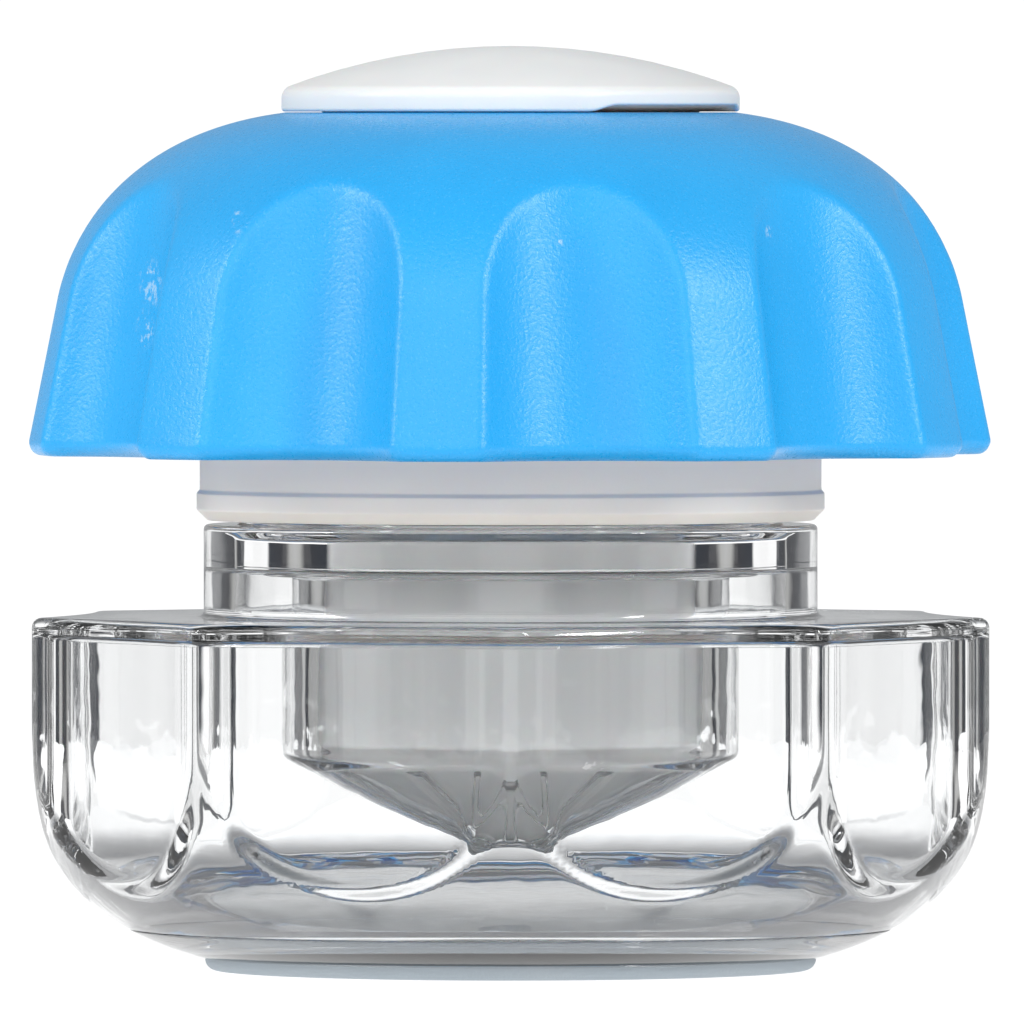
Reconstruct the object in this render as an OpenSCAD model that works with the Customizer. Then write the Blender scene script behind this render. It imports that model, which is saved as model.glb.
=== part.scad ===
// Pill crusher: a clear base with a ribbed crushing well, and a screw-down
// knob that carries the crushing plunger and a lidded pill store.
// Millimetres. +Z is up, and the origin is on the screw axis at the foot.

/* [Clear base] */
// Radius of the foot pad
foot_r = 21.6; // [16:0.1:26]
// Height of the foot pad that shows below the bowl
foot_show = 0.9; // [0.5:0.1:2]
// Depth that the foot pad is let into the bowl
foot_sunk = 0.8; // [0.4:0.1:1.2]
// Height of the seam between the bowl and the upper base shell
seam_z = 5.3; // [4.5:0.1:7]
// Height of the flat deck at the top of the wide part of the base
deck_z = 25; // [20:0.1:32]
// Radius of the base over its ridges
ridge_r = 34.3; // [32:0.1:42]
// Depth of a scallop between two ridges
scallop_d = 3; // [2.4:0.1:4]
// Number of ridges round the base
ridges = 9; // [6:1:14]
// Wall thickness of the clear base shell
shell_wall = 2.2; // [1.6:0.1:2.5]
// Thickness of the thin flat deck
deck_wall = 1.2; // [0.8:0.1:2.4]
// Thickness of the bowl's floor
bowl_floor = 3; // [2:0.1:3.4]

/* [Neck and spigot] */
// Outer radius of the clear neck
neck_r = 21.7; // [20:0.1:25]
// Height of the neck above the deck
neck_h = 6.5; // [4:0.1:10]
// Thickness of the solid ring at the top of the neck
neck_ring_h = 3; // [2:0.1:4]
// Width of the seat at the top of the neck, outside the spigot
neck_seat = 2.7; // [2:0.1:3.4]
// Height of the spigot above the neck
spigot_h = 11; // [10:0.1:14]
// Wall thickness of the threaded spigot
spigot_wall = 2.2; // [1.6:0.1:2.6]

/* [Screw thread] */
// Rise of the knob for one full turn
lead = 6; // [4:0.1:9]
// Number of thread starts
starts = 2; // [1:1:3]
// Radial depth of the thread
thread_d = 1.1; // [0.7:0.05:1.4]
// Thickness of a thread rib at its root
rib_w = 1.4; // [0.8:0.05:1.6]
// Height of the start of the thread above the neck
thread_lift = 1.6; // [1.4:0.1:2]
// Height over which the spigot is threaded
spigot_thread_h = 7.5; // [4:0.1:8]
// Height over which the collar is threaded
collar_thread_h = 3; // [1.5:0.1:4]

/* [Crushing well and plunger] */
// Bore radius of the crushing well
well_r = 13.1; // [10:0.1:14]
// Wall thickness of the crushing well's tube
well_wall = 2.4; // [1.4:0.1:2.6]
// Width of the lip by which the well is bonded under the neck's ring
well_lip_w = 2; // [1:0.1:2.5]
// Thickness of that lip
well_lip_h = 0.6; // [0.5:0.1:1.5]
// Thickness of the well's conical floor, measured along the axis
well_floor = 1.5; // [1.2:0.1:2.5]
// Height of the flat tip of the well's floor, on its outside
well_tip_z = 8.1; // [7:0.1:11]
// Radius of the flat tip of the well's floor, on its outside
well_tip_r = 3.5; // [2:0.1:5]
// Slope of the conical crushing faces, in degrees
cone_slope = 30; // [20:1:34]
// Gap between the crushing faces when the knob is fully down
crush_gap = 0.9; // [0.9:0.1:3]
// Height of the crushing ribs on the well's floor
well_rib_h = 0.25; // [0.1:0.05:0.25]
// Height of the crushing ribs on the plunger
plunger_rib_h = 0.25; // [0.1:0.05:0.25]
// Width of a crushing rib
crush_rib_w = 1.0; // [0.6:0.1:1.6]
// Number of crushing ribs on each face
crush_ribs = 12; // [6:1:16]
// Wall thickness of the hollow plunger
plunger_wall = 1.8; // [1.2:0.1:2.5]

/* [Collar and seal] */
// Wall thickness of the threaded collar
collar_wall = 1.8; // [1.4:0.1:2.6]
// Thickness of the collar's roof
collar_roof = 2; // [1.4:0.1:2.6]
// Thickness of the seal ring
seal_h = 1.2; // [0.8:0.1:1.6]
// Room between the seal ring and the collar's roof
seal_room = 0.8; // [0.5:0.1:1.5]
// Depth of the seal groove in the plunger
seal_groove = 0.6; // [0.3:0.1:0.8]
// Width of the plunger's head flange, outside the plunger
head_flange = 5; // [3:0.1:6]
// Thickness of the plunger's head flange
head_h = 1.8; // [1.4:0.1:2.6]

/* [Knob] */
// Height of the knob's lower edge above the neck
knob_lift = 4.9; // [3.6:0.1:6]
// Height of the knob from its lower edge to its crown
knob_h = 24.2; // [23:0.1:32]
// Radius of the knob at its lower edge
knob_r = 34.3; // [32:0.1:42]
// Slope of the knob's skirt: radius lost for each unit of height
skirt_lean = 0.2; // [0.1:0.01:0.25]
// Height of the top of the straight skirt above the lower edge
skirt_h = 11.1; // [8:0.1:12]
// Wall thickness of the knob
knob_wall = 2.2; // [1.6:0.1:2.8]
// Number of finger flutes round the knob
flutes = 10; // [6:1:12]
// Radius of the round cutter that makes a flute
flute_r = 10.6; // [8:0.1:14]
// Radius of the curved wall behind a flute
flute_back_r = 9; // [7:0.1:11]
// Depth of a flute at the knob's lower edge
flute_d = 3.8; // [2:0.1:4.2]
// Lean of a flute towards the axis, in degrees
flute_lean = 8.1; // [4:0.1:11]
// Angle of the first flute from the front, in degrees
flute_turn = 9.4; // [0:0.1:36]
// Wall thickness of the hub tube inside the knob
hub_wall = 1.8; // [1.2:0.1:2.4]
// Height of the grip tube's lower edge above the knob's lower edge
grip_lift = 2.4; // [1:0.1:4]

/* [Pill store and lid] */
// Outer radius of the pill store
store_r = 14.8; // [13:0.1:16]
// Wall thickness of the pill store
store_wall = 1.4; // [1:0.1:2]
// Width of the rim flange of the pill store
store_flange = 1; // [0.6:0.1:1.4]
// Thickness of the rim flange of the pill store
flange_h = 0.8; // [0.6:0.1:1.2]
// Radius of the lid
lid_r = 16.2; // [15.9:0.1:18]
// Height of the lid's straight edge
lid_edge_h = 1.6; // [1.2:0.1:2.4]
// Height of the lid's crown above its straight edge
lid_dome_h = 2.8; // [1.6:0.1:4]
// Wall thickness of the lid
lid_wall = 1.4; // [1:0.1:1.6]
// Depth of the lid's plug below the lid
plug_h = 3; // [2:0.1:5]
// Height of the finger slot under the lid's edge
slot_h = 0.5; // [0.3:0.1:0.8]
// Depth of the finger slot, inwards from the lid's edge
slot_in = 2.5; // [1.5:0.1:2.6]
// Angle of the finger slot from the front, in degrees
slot_turn = 54; // [0:1:359]

/* [Clearances] */
// Radial running clearance of the plunger in the well
run_gap = 0.1; // [0.05:0.01:0.1]
// Gap left between pieces that move past each other
free_gap = 0.3; // [0.2:0.05:0.4]
// Radial gap between pieces that are pressed or bonded together
bond_gap = 0.03; // [0.02:0.01:0.05]

/* [Hidden] */

clear_tint = [0.86, 0.89, 0.90, 0.45];
white_tint = [0.86, 0.87, 0.87];
knob_blue = [0.27, 0.70, 0.96];
pad_grey = [0.60, 0.63, 0.66];
seal_grey = [0.74, 0.76, 0.78];

cut = 1;             // how far a cutter runs past the face that it cuts
curve_steps = 12;    // straight pieces in each curved outline
turn_steps = 24;     // straight pieces in one full turn of thread
bowl_margin = 0.3;   // width of the bowl's flat outside the foot pad
bowl_reach = 11;     // how far the bowl's curve runs out along its flat
bowl_tilt = 2.6;     // how far that run climbs
bowl_climb = 10.6;   // how far the bowl's curve runs up along the wall
bowl_top_z = 18.7;   // height at which the bowl's curve becomes upright
locating_lip = 1.6;  // height of the bowl's lip inside the shell
crown_tilt = 7;      // slope of the knob's crown at the lid, in degrees
crown_reach = 12;    // how far the knob's curve runs in along its crown
skirt_reach = 3.7;   // how far the knob's curve runs up along its skirt
corner_r = 0.9;      // size of the knob's lower corner
cutter_under = 5;    // how far a flute cutter starts below the knob
rib_short = 0.2;     // how far the plunger's ribs stop inside its edge
rib_root = 0.5;      // depth that a rib is rooted in the wall behind it

bowl_r = foot_r + bowl_margin;
scallop_r = ridge_r - scallop_d;
lip_hole_r = min(scallop_r - shell_wall, bowl_radius(seam_z, shell_wall));
neck_top = deck_z + neck_h;
spigot_r = neck_r - neck_seat;
spigot_top = neck_top + spigot_h;
spigot_in = spigot_r - spigot_wall;
well_out = well_r + well_wall;
well_top = neck_top - neck_ring_h;
cone_rise = tan(cone_slope);
well_tip_top = well_tip_z + well_floor;
well_cone_top = well_tip_top + (well_r - well_tip_r) * cone_rise;

plunger_r = well_r - run_gap;
plunger_in = plunger_r - plunger_wall;
tip_z = well_tip_top + crush_gap;
plunger_edge_z = tip_z + (plunger_r - well_tip_r) * cone_rise;

collar_z = neck_top + free_gap;
collar_in = spigot_r + thread_d + free_gap;
collar_r = collar_in + collar_wall;
seal_z = spigot_top + free_gap;
seal_in = plunger_r - seal_groove + run_gap;
roof_z = seal_z + seal_h + seal_room;
collar_top = roof_z + collar_roof;
head_r = plunger_r + head_flange;
head_top = collar_top + head_h;

rib_tip_w = rib_w * 0.55;
spigot_thread_z = neck_top + thread_lift;
thread_phase = lead / starts / 2;
collar_thread_z = spigot_thread_z + thread_phase;

knob_z = neck_top + knob_lift;
crown_z = knob_z + knob_h;
crown_r = lid_r - free_gap;
grip_z = knob_z + grip_lift;
grip_in = collar_r + bond_gap;
grip_out = grip_in + knob_wall;
hub_in = store_r + bond_gap;

lid_z = crown_z + free_gap;
store_in = store_r - store_wall;
store_flange_r = store_r + store_flange;
lid_edge_top = lid_z + lid_edge_h;
lid_top = lid_edge_top + lid_dome_h;
plug_r = store_in - run_gap;

// One point of a cubic curve.
function curve_at(a, b, c, d, t) =
    pow(1 - t, 3) * a + 3 * pow(1 - t, 2) * t * b
    + 3 * (1 - t) * t * t * c + pow(t, 3) * d;

// Points along a cubic curve, without its first point.
function curve(a, b, c, d) =
    [for (i = [1:curve_steps]) curve_at(a, b, c, d, i / curve_steps)];

// Outer outline of the bowl: a flat bottom that curves up to the ridges.
function bowl_outline(inset) = [
    [0, foot_show + inset],
    [bowl_r, foot_show + inset],
    each curve(
        [bowl_r, foot_show + inset],
        [bowl_r + bowl_reach - inset, foot_show + inset + bowl_tilt],
        [ridge_r - inset, bowl_top_z - bowl_climb],
        [ridge_r - inset, bowl_top_z])
];

// Radius of the bowl's outline at a height.
function bowl_radius(z, inset) =
    lookup(z, [
        for (p = bowl_outline(inset))
            if (p[0] > 0)
                [p[1], p[0]]
    ]);

// Curve of the knob from the top of its skirt to the hole in its crown.
function knob_curve(inset) =
    let (top = [knob_r - skirt_lean * skirt_h - inset, knob_z + skirt_h])
    [
        top,
        each curve(
            top,
            top + skirt_reach * [-skirt_lean, 1],
            [crown_r, crown_z - inset]
                + crown_reach * [cos(crown_tilt), -sin(crown_tilt)],
            [crown_r, crown_z - inset]),
        [0, crown_z - inset]
    ];

// Flat shape of the base from above: ridges with hollow scallops between.
module scalloped_disc(inset) {
    half = 180 / ridges;
    chord = ridge_r * sin(half);
    sag = ridge_r * cos(half) - scallop_r;
    hollow_r = (chord * chord + sag * sag) / (2 * sag);
    difference() {
        circle(r = ridge_r - inset, $fn = 96);
        for (i = [0:ridges - 1])
            rotate(-90 + half + i * 2 * half)
                translate([scallop_r + hollow_r, 0])
                    circle(r = hollow_r + inset, $fn = 180);
    }
}

// A ring with an upright axis.
module ring(r_out, r_in, z, h) {
    translate([0, 0, z])
        rotate_extrude($fn = 96)
            translate([r_in, 0])
                square([r_out - r_in, h]);
}

// One helical rib, from its buried root to its crest, tapered at both ends.
// side is 1 for a rib that stands outwards and -1 for one that stands inwards.
module thread_rib(root_r, side, z, h) {
    steps = ceil(h / lead * turn_steps);
    rings = [
        for (i = [0:steps])
            let (
                a = i * 360 / turn_steps,
                mid = z + i * lead / turn_steps,
                stand = thread_d * min(1, 0.3 + 0.35 * min(i, steps - i)),
                foot = root_r - side * rib_root,
                crest = root_r + side * stand
            )
            for (p = [
                [foot, -rib_w / 2], [crest, -rib_tip_w / 2],
                [crest, rib_tip_w / 2], [foot, rib_w / 2]
            ])
                [p[0] * cos(a), p[0] * sin(a), mid + p[1]]
    ];
    sides = [
        for (i = [0:steps - 1], j = [0:3])
            let (k = (j + 1) % 4)
            side > 0
                ? [4 * i + j, 4 * i + k, 4 * i + 4 + k, 4 * i + 4 + j]
                : [4 * i + 4 + j, 4 * i + 4 + k, 4 * i + k, 4 * i + j]
    ];
    first = side > 0 ? [3, 2, 1, 0] : [0, 1, 2, 3];
    last = 4 * steps;
    end = side > 0 ? [last, last + 1, last + 2, last + 3]
                   : [last + 3, last + 2, last + 1, last];
    polyhedron(points = rings, faces = [first, each sides, end]);
}

module thread(root_r, side, z, h) {
    for (i = [0:starts - 1])
        rotate(i * 360 / starts)
            thread_rib(root_r, side, z, h);
}

// Radial ribs on a crushing cone whose flat tip is at height z. They reach
// above the cone by up and below it by down.
module crushing_ribs(r_out, z, up, down) {
    slant = (r_out - well_tip_r) / cos(cone_slope);
    for (i = [0:crush_ribs - 1])
        rotate(i * 360 / crush_ribs)
            translate([well_tip_r, 0, z])
                rotate([0, -cone_slope, 0])
                    translate([0, -crush_rib_w / 2, -down])
                        cube([slant, crush_rib_w, up + down]);
}

module foot_pad() {
    edge = foot_show * 0.6;
    color(pad_grey)
        rotate_extrude($fn = 96)
            polygon([
                [0, 0], [foot_r - edge, 0], [foot_r, edge],
                [foot_r, foot_show + foot_sunk], [0, foot_show + foot_sunk]
            ]);
}

module base_bowl() {
    lip_out = lip_hole_r - bond_gap;
    lip_in = lip_out - shell_wall;
    floor_z = foot_show + bowl_floor;
    color(clear_tint)
        difference() {
            union() {
                rotate_extrude($fn = 96)
                    intersection() {
                        polygon([each bowl_outline(0), [0, bowl_top_z]]);
                        square([ridge_r, seam_z]);
                    }
                ring(lip_out, lip_in, floor_z, seam_z - floor_z + locating_lip);
            }
            translate([0, 0, -cut])
                cylinder(r = foot_r + bond_gap, h = foot_show + foot_sunk + cut, $fn = 96);
            translate([0, 0, floor_z])
                cylinder(r = lip_in, h = seam_z, $fn = 96);
        }
}

module base_shell() {
    color(clear_tint)
        difference() {
            union() {
                intersection() {
                    translate([0, 0, seam_z])
                        linear_extrude(deck_z - seam_z)
                            scalloped_disc(0);
                    rotate_extrude($fn = 96)
                        polygon([
                            each bowl_outline(0), [ridge_r, deck_z], [0, deck_z]
                        ]);
                }
                translate([0, 0, deck_z - cut])
                    cylinder(r = neck_r, h = neck_h + cut, $fn = 96);
                translate([0, 0, neck_top - cut])
                    cylinder(r = spigot_r, h = spigot_h + cut, $fn = 96);
                thread(spigot_r, 1, spigot_thread_z, spigot_thread_h);
            }
            intersection() {
                translate([0, 0, seam_z - cut])
                    linear_extrude(deck_z - deck_wall - seam_z + cut)
                        scalloped_disc(shell_wall);
                rotate_extrude($fn = 96)
                    polygon([
                        each bowl_outline(shell_wall),
                        [ridge_r - shell_wall, deck_z], [0, deck_z]
                    ]);
            }
            translate([0, 0, seam_z - cut])
                cylinder(r = lip_hole_r, h = locating_lip + 2 * cut, $fn = 96);
            translate([0, 0, seam_z])
                cylinder(r = neck_r - shell_wall, h = well_top - seam_z, $fn = 96);
            translate([0, 0, seam_z])
                cylinder(r = well_r, h = spigot_top, $fn = 96);
            translate([0, 0, neck_top])
                cylinder(r = spigot_in, h = spigot_h + cut, $fn = 96);
        }
}

module crushing_well() {
    lip_r = well_out + well_lip_w;
    outer_z = well_tip_z + (well_out - well_tip_r) * cone_rise;
    color(clear_tint)
        union() {
            rotate_extrude($fn = 96)
                polygon([
                    [0, well_tip_z], [well_tip_r, well_tip_z],
                    [well_out, outer_z], [well_out, well_top - well_lip_h],
                    [lip_r, well_top - well_lip_h], [lip_r, well_top],
                    [well_r, well_top], [well_r, well_cone_top],
                    [well_tip_r, well_tip_top], [0, well_tip_top]
                ]);
            intersection() {
                crushing_ribs(well_out, well_tip_top, well_rib_h, rib_root);
                cylinder(r = well_r + well_wall / 2, h = well_top, $fn = 96);
            }
        }
}

module seal_ring() {
    color(seal_grey)
        ring(spigot_r, seal_in, seal_z, seal_h);
}

module threaded_collar() {
    bevel = 0.6;
    color(white_tint)
        difference() {
            union() {
                rotate_extrude($fn = 96)
                    difference() {
                        polygon([
                            [0, collar_z], [collar_r - bevel, collar_z],
                            [collar_r, collar_z + bevel], [collar_r, collar_top],
                            [0, collar_top]
                        ]);
                        translate([0, collar_z - cut])
                            square([collar_in, roof_z - collar_z + cut]);
                    }
                thread(collar_in, -1, collar_thread_z, collar_thread_h);
            }
            translate([0, 0, roof_z - cut])
                cylinder(r = plunger_r + bond_gap, h = collar_roof + 2 * cut, $fn = 96);
        }
}

module plunger() {
    hollow_z = tip_z + plunger_wall;
    hollow_edge_z = hollow_z + (plunger_in - well_tip_r) * cone_rise;
    color(white_tint)
        union() {
            rotate_extrude($fn = 96)
                difference() {
                    polygon([
                        [0, tip_z], [well_tip_r, tip_z],
                        [plunger_r, plunger_edge_z], [plunger_r, collar_top],
                        [head_r, collar_top], [head_r, head_top], [0, head_top]
                    ]);
                    polygon([
                        [0, hollow_z], [well_tip_r, hollow_z],
                        [plunger_in, hollow_edge_z], [plunger_in, head_top + cut],
                        [0, head_top + cut]
                    ]);
                    translate([plunger_r - seal_groove, seal_z - free_gap])
                        square([seal_groove + cut, seal_h + 2 * free_gap]);
                }
            intersection() {
                crushing_ribs(plunger_r, tip_z, rib_root, plunger_rib_h);
                cylinder(r = plunger_r - rib_short, h = collar_top, $fn = 96);
            }
        }
}

// Leaning round cutters, one for each flute, whose inner edges stand at
// radius valley at the height of the knob's lower edge.
module flute_cutters(r, valley) {
    for (i = [0:flutes - 1])
        rotate(-90 + flute_turn + i * 360 / flutes)
            translate([valley + r, 0, knob_z])
                rotate([0, -flute_lean, 0])
                    translate([0, 0, -cutter_under])
                        cylinder(r = r, h = crown_z - knob_z + cutter_under, $fn = 64);
}

module knob_shell() {
    reach = crown_z - knob_z;
    inner_r = knob_r - knob_wall;
    valley = knob_r - flute_d;
    color(knob_blue)
        difference() {
            rotate_extrude($fn = 96)
                polygon([
                    [0, knob_z], [knob_r - corner_r, knob_z],
                    [knob_r - skirt_lean * corner_r, knob_z + corner_r],
                    each knob_curve(0)
                ]);
            flute_cutters(flute_r, valley);
            difference() {
                rotate_extrude($fn = 96)
                    polygon([
                        [0, knob_z - cut], [inner_r, knob_z - cut],
                        [inner_r, knob_z], each knob_curve(knob_wall)
                    ]);
                flute_cutters(flute_back_r, valley - knob_wall);
                ring(grip_out, grip_in, grip_z, reach);
                translate([0, 0, head_top])
                    cylinder(r = hub_in + hub_wall, h = reach, $fn = 96);
            }
            translate([0, 0, knob_z])
                cylinder(r = hub_in, h = reach + cut, $fn = 96);
            translate([0, 0, crown_z - flange_h])
                cylinder(r = store_flange_r + bond_gap, h = reach, $fn = 96);
        }
}

module storage_cup() {
    color(white_tint)
        rotate_extrude($fn = 96)
            polygon([
                [0, head_top], [store_r, head_top],
                [store_r, crown_z - flange_h],
                [store_flange_r, crown_z - flange_h],
                [store_flange_r, crown_z], [store_in, crown_z],
                [store_in, head_top + store_wall], [0, head_top + store_wall]
            ]);
}

module lid() {
    sphere_r = (lid_r * lid_r + lid_dome_h * lid_dome_h) / (2 * lid_dome_h);
    hollow_r = plug_r - lid_wall;
    plug_z = lid_z - plug_h;
    color(white_tint)
        difference() {
            union() {
                intersection() {
                    translate([0, 0, lid_top - sphere_r])
                        sphere(r = sphere_r, $fn = 96);
                    translate([0, 0, lid_z])
                        cylinder(r = lid_r, h = lid_top - lid_z, $fn = 96);
                }
                ring(plug_r, hollow_r, plug_z, plug_h + cut);
            }
            intersection() {
                translate([0, 0, lid_top - sphere_r])
                    sphere(r = sphere_r - lid_wall, $fn = 96);
                translate([0, 0, plug_z - cut])
                    cylinder(r = hollow_r, h = lid_top - plug_z, $fn = 96);
            }
            rotate(slot_turn - 90)
                translate([lid_r - slot_in, -lid_r / 2, lid_z - cut])
                    cube([slot_in + cut, lid_r, slot_h + cut]);
        }
}

foot_pad();
base_bowl();
base_shell();
crushing_well();
seal_ring();
threaded_collar();
plunger();
knob_shell();
storage_cup();
lid();
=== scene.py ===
"""Looks of a screw-down pill crusher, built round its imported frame."""
from math import acos, atan2, cos, hypot, pi, radians, sin, sqrt, tan

import bmesh
import bpy
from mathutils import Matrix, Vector


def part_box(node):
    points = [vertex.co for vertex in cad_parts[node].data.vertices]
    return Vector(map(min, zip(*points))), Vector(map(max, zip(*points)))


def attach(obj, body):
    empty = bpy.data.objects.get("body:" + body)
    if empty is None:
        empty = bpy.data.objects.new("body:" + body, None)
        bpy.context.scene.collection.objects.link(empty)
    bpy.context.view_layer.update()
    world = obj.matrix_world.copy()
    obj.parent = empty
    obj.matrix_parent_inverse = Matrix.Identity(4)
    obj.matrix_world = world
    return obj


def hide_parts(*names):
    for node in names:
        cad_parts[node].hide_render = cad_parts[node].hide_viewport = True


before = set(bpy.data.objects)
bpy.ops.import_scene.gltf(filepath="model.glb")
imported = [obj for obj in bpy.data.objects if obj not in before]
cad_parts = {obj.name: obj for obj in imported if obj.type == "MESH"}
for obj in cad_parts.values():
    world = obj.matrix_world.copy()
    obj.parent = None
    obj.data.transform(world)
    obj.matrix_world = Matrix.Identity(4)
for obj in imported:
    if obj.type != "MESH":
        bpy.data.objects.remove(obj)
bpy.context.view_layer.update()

scene = bpy.context.scene
MM = 0.001


# ---------------------------------------------------------------- sizes, mm

def low(node):
    """Lowest corner of a CAD node's box."""
    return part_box(node)[0] / MM


def high(node):
    """Highest corner of a CAD node's box."""
    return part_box(node)[1] / MM


GAP = 0.03                       # film of air left in bonded and pressed joints
HOLD = 0.12                      # how far beyond a rounding its flat is held
WELD = 1e-4                      # points nearer than this become one
TINY = 1e-9                      # keeps a division from zero
ROUNDING_SHARE = 0.49            # most of a side that one rounding may take
ON_WALL = 0.01                   # points this near a wall are taken as on it
ON_CONE = 0.02                   # the same for a cone's slope
WEDGES = 15                      # copies that make up a turned piece
TURN_STEPS = 360                 # faces round a large turned piece
SMALL_STEPS = 240                # faces round a small one
CONE_ROWS = 16                   # rows up a crushing cone

FOOT_R = high("foot_pad").x
FOOT_TOP = high("foot_pad").z
FOOT_CENTRE_R = 3.0
FOOT_EDGE_R = 18.5
FOOT_RINGS = 4
RING_FIRST_R = 5.0
RING_PITCH = 4.0
RING_W = 1.0
RING_SLOPE = 0.25
RING_DEPTH = 0.18

BOWL_Z = low("base_bowl").z
BOWL_TOP_Z = 18.7
BOWL_MARGIN = 0.3                # flat of the bowl outside the foot
BOWL_REACH = 10.4                # how far the bowl's curve runs out along its flat
BOWL_TILT = 2.9                  # how far that run climbs
BOWL_CLIMB = 9.3                 # how far the curve runs up along the wall
BOWL_STEPS = 56
SEAM_Z = 2.9                     # seam between bowl and shell
SEAM_SOFT = 0.25                 # height that the seam's edge takes from the shell
SEAM_EDGE = 0.15                 # height that it takes from the bowl
OPENING_R = 24.5                 # hole in the shell's underside, at the seam

RIDGES = 9
RIDGE_R = 34.3
RIDGE_BLEND_INSIDE = 4.0
RIDGE_BLEND_OUTSIDE = 1.0
SCALLOP_R = 31.3
SCALLOP_OUT = 0.2                # sets the blended wall back out to its real radius
SCALLOP_FADE_R = 5.0             # width of the deck over which the scallops fade
SHELL_WALL = 2.2
SHELL_STEPS = 390
DECK_Z = 25.0
DECK_WALL = 1.2
NECK_R = 21.7
NECK_TOP = 31.5
NECK_RING = 3.0

SPIGOT_R = 19.0
SPIGOT_TOP = high("base_shell").z
SPIGOT_ROWS = 52
LEAD = 6.0
STARTS = 2
THREAD_DEPTH = 1.1
THREAD_ROOT_W = 1.4
THREAD_CREST_W = 0.77
THREAD_PLAY = 0.3
THREAD_RUNOUT = 0.09             # share of a thread's length that each end fades over
SPIGOT_THREAD_Z = NECK_TOP + 1.6
SPIGOT_THREAD_H = 7.5
COLLAR_THREAD_Z = SPIGOT_THREAD_Z + LEAD / STARTS / 2
COLLAR_THREAD_H = 3.0

WELL_R = 13.1
WELL_WALL = 2.4
WELL_OUT = WELL_R + WELL_WALL
WELL_LIP_R = high("crushing_well").x
WELL_LIP_H = 0.6
WELL_TIP_Z = low("crushing_well").z
WELL_TIP_R = 3.5
WELL_TOP = high("crushing_well").z
WELL_FLOOR = 1.5
CONE_RISE = tan(radians(30))
CRUSH_GAP = 0.9
CRUSH_RIBS = 12
CRUSH_RIB_H = 0.25
CRUSH_RIB_W = 1.0
CRUSH_RIB_FOOT = CRUSH_RIB_W * 0.62
CRUSH_RIB_CREST = CRUSH_RIB_W * 0.38

PLUNGER_R = 13.0
PLUNGER_WALL = 1.8
PLUNGER_EDGE = 0.3               # rim left smooth outside the cone's rows
HEAD_R = high("plunger").x
HEAD_TOP = high("plunger").z
GROOVE_DEPTH = 0.6
SEAL_PLAY = 0.3
SEAL_IN = 12.5
SEAL_STEPS = 180

COLLAR_Z = low("threaded_collar").z
COLLAR_TOP = high("threaded_collar").z
COLLAR_R = high("threaded_collar").x
COLLAR_IN = SPIGOT_R + THREAD_DEPTH + THREAD_PLAY
COLLAR_ROOF = 2.0
COLLAR_ROWS = 60
COLLAR_BEVEL = 0.75              # bevel at the collar's lower edge
COLLAR_STEP = 0.22               # how far the collar steps in above its bead

KNOB_Z = low("knob_shell").z
CROWN_Z = high("knob_shell").z
CROWN_TILT = radians(7)
CROWN_REACH = 12.0               # how far the knob's curve runs in along its crown
KNOB_R = 34.3
KNOB_WALL = 2.2
KNOB_STEPS = 600
EDGE_H = 3.0                     # height of the rolled lower edge
SKIRT_LEAN = 0.2
SKIRT_H = 11.1
SKIRT_REACH = 3.7                # how far the curve runs up along the skirt
HUB_WALL = 1.8
GRIP_LIFT = 2.4                  # how far the grip tube stops above the lower edge
FLUTES = 10
FLUTE_R = 10.6
FLUTE_BACK_R = 9.0
FLUTE_DEPTH = 3.8
FLUTE_LEAN = tan(radians(9.2))
FLUTE_TURN = radians(9.4)
FLUTE_BLEND = 0.5
FLUTE_BACK_BLEND = 1.2
NO_FLUTE_R = 99.0                # a radius beyond every wall

STORE_R = 14.8
STORE_WALL = 1.4
STORE_FLANGE_R = high("storage_cup").x
STORE_FLANGE_H = 0.8
STORE_TOP = high("storage_cup").z

LID_Z = CROWN_Z + 0.06
LID_R = high("lid").x
LID_TOP = high("lid").z
LID_EDGE_H = 1.6
LID_EDGE_W = 1.6
LID_WALL = 1.4
PLUG_Z = low("lid").z
PLUG_R = STORE_R - STORE_WALL - 0.1
SLOT_TURN = radians(54)
SLOT_SPAN = radians(34)          # half the slot's span, to where it fades out
SLOT_FULL_SPAN = radians(26)     # half the span where it is at full height
SLOT_REACH = 2.6                 # how far in from the edge the slot reaches
SLOT_FULL_REACH = 1.9            # how far in it is at full height
SLOT_H = 0.45


# ------------------------------------------------------------ outline tools

def curve(a, b, c, d, steps):
    """Points along a cubic curve, ends included."""
    points = []
    for i in range(steps + 1):
        t = i / steps
        w = ((1 - t) ** 3, 3 * (1 - t) ** 2 * t, 3 * (1 - t) * t * t, t ** 3)
        points.append(tuple(
            w[0] * a[k] + w[1] * b[k] + w[2] * c[k] + w[3] * d[k] for k in (0, 1)))
    return points


def split(a, b, steps):
    """Points along a straight line, without its ends."""
    return [
        (a[0] + (b[0] - a[0]) * i / steps, a[1] + (b[1] - a[1]) * i / steps)
        for i in range(1, steps)]


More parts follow.
